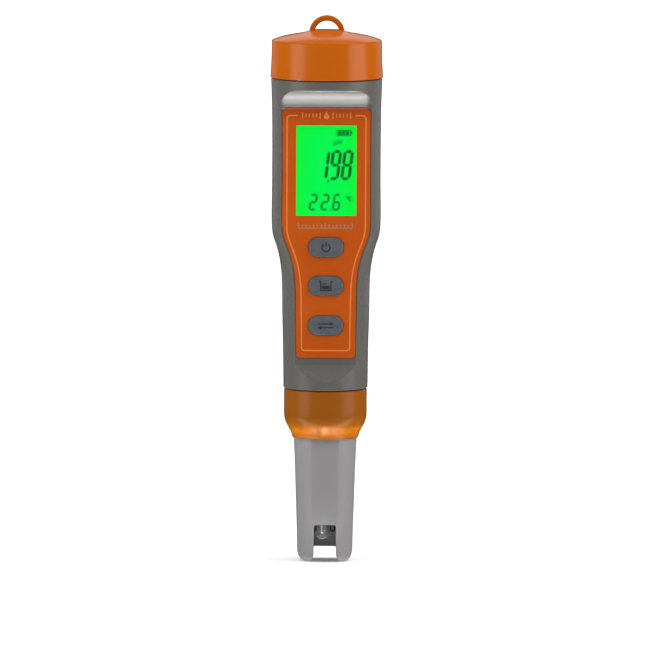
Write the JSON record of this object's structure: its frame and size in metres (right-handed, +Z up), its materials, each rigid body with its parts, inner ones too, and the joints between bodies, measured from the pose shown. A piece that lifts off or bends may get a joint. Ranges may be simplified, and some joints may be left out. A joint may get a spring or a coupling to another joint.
{
  "type": "ph meter",
  "caption": "Pen-style pH meter with a lit display, three keys, a screw battery cap with lanyard loop, and a plug-in glass-bulb probe held by a screw collar.",
  "frame": {"origin": "on the instrument's long axis, level with the tips of the two guard prongs at the bottom of the probe", "axes": "+Z up along the instrument from probe to lanyard loop; the display and keys face -Y; +X is to the right when reading the display"},
  "size_m": [0.0386, 0.0386, 0.187],
  "materials": {
    "housing_grey": "satin moulded plastic, fine grain",
    "overlay_orange": "printed polyester sheet, satin",
    "cap_orange": "semi-gloss moulded plastic",
    "collar_orange": "semi-gloss moulded plastic",
    "window_clear": "clear acrylic window",
    "lcd_green": "lit liquid crystal cell",
    "lightguide_white": "white light guide",
    "led_body": "small light source",
    "frame_black": "moulded black plastic",
    "chip_black": "epoxy package",
    "board_green": "solder-masked board",
    "screw_steel": "zinc plated",
    "can_nickel": "nickel can",
    "contact_metal": "nickel plated spring steel",
    "gold_plate": "gold plated",
    "silver_wire": "chlorided silver wire",
    "sensor_steel": "stainless steel",
    "rubber_black": "black rubber",
    "silicone_grey": "silicone",
    "key_grey": "silicone keycap, satin",
    "plunger_plastic": "moulded plunger",
    "cell_sleeve": "printed steel can",
    "lead_red": "insulated lead",
    "ribbon_white": "flat flexible lead",
    "washer_nylon": "nylon",
    "probe_grey": "satin moulded plastic",
    "electrode_glass": "thin clear glass",
    "potting_resin": "cast resin",
    "junction_ceramic": "porous ceramic"
  },
  "bodies": {
    "housing": {"main_housing": "housing_grey", "front_overlay": "overlay_orange", "lcd_window": "window_clear", "lcd_frame": "frame_black", "lcd_glass": "lcd_green", "backlight_panel": "lightguide_white", "zebra_strips": "rubber_black", "backlight_leds": "led_body", "main_pcb": "board_green", "board_screws": "screw_steel", "controller_chip": "chip_black", "amplifier_chip": "chip_black", "crystal_can": "can_nickel", "board_components": "chip_black", "buzzer_can": "chip_black", "keypad_seal": "silicone_grey", "switch_bases": "frame_black", "battery_cage": "frame_black", "battery_cell_1": "cell_sleeve", "battery_cell_2": "cell_sleeve", "battery_cell_3": "cell_sleeve", "battery_cell_4": "cell_sleeve", "battery_springs": "contact_metal", "battery_leads": "lead_red", "cap_o_ring": "rubber_black", "probe_socket": "frame_black", "socket_pins": "gold_plate", "socket_o_ring": "rubber_black", "ribbon_lead": "ribbon_white"},
    "power_button": {"power_key": "key_grey", "power_plunger": "plunger_plastic"},
    "cal_button": {"cal_key": "key_grey", "cal_plunger": "plunger_plastic"},
    "mode_button": {"mode_key": "key_grey", "mode_plunger": "plunger_plastic"},
    "contact_carrier": {"contact_disc": "frame_black", "contact_strips": "contact_metal", "disc_washer": "washer_nylon"},
    "cap": {"battery_cap": "cap_orange"},
    "probe": {"probe_shell": "probe_grey", "glass_bulb": "electrode_glass", "glass_stem": "electrode_glass", "inner_wire": "silver_wire", "potting_disc": "potting_resin", "temperature_sensor": "sensor_steel", "reference_junction": "junction_ceramic", "probe_plug": "frame_black", "plug_sleeves": "gold_plate", "probe_o_ring": "rubber_black", "collar_gasket": "rubber_black"},
    "collar": {"lock_collar": "collar_orange"}
  },
  "joints": [
    {"name": "power_press", "type": "slide", "parent": "housing", "child": "power_button", "axis": [0, 1, 0], "range_m": [0, 0.00035], "stiffness_N_per_m": 2500, "springref_m": -0.0001},
    {"name": "cal_press", "type": "slide", "parent": "housing", "child": "cal_button", "axis": [0, 1, 0], "range_m": [0, 0.00035], "stiffness_N_per_m": 2500, "springref_m": -0.0001},
    {"name": "mode_press", "type": "slide", "parent": "housing", "child": "mode_button", "axis": [0, 1, 0], "range_m": [0, 0.00035], "stiffness_N_per_m": 2500, "springref_m": -0.0001},
    {"name": "cap_lift", "type": "slide", "parent": "housing", "child": "contact_carrier", "axis": [0, 0, 1], "range_m": [0, 0.006]},
    {"name": "cap_turn", "type": "hinge", "parent": "contact_carrier", "child": "cap", "pos_m": [0, 0, 0.17], "axis": [0, 0, 1], "range_deg": [0, 720.2]},
    {"name": "probe_out", "type": "slide", "parent": "housing", "child": "probe", "axis": [0, 0, -1], "range_m": [0, 0.01]},
    {"name": "collar_turn", "type": "hinge", "parent": "probe", "child": "collar", "pos_m": [0, 0, 0.05], "axis": [0, 0, -1], "range_deg": [0, 1200.4]}
  ],
  "couplings": [
    {"joint": "cap_turn", "follows": "cap_lift", "rad_per_m": 2094.4},
    {"joint": "collar_turn", "follows": "probe_out", "rad_per_m": 2094.4}
  ]
}
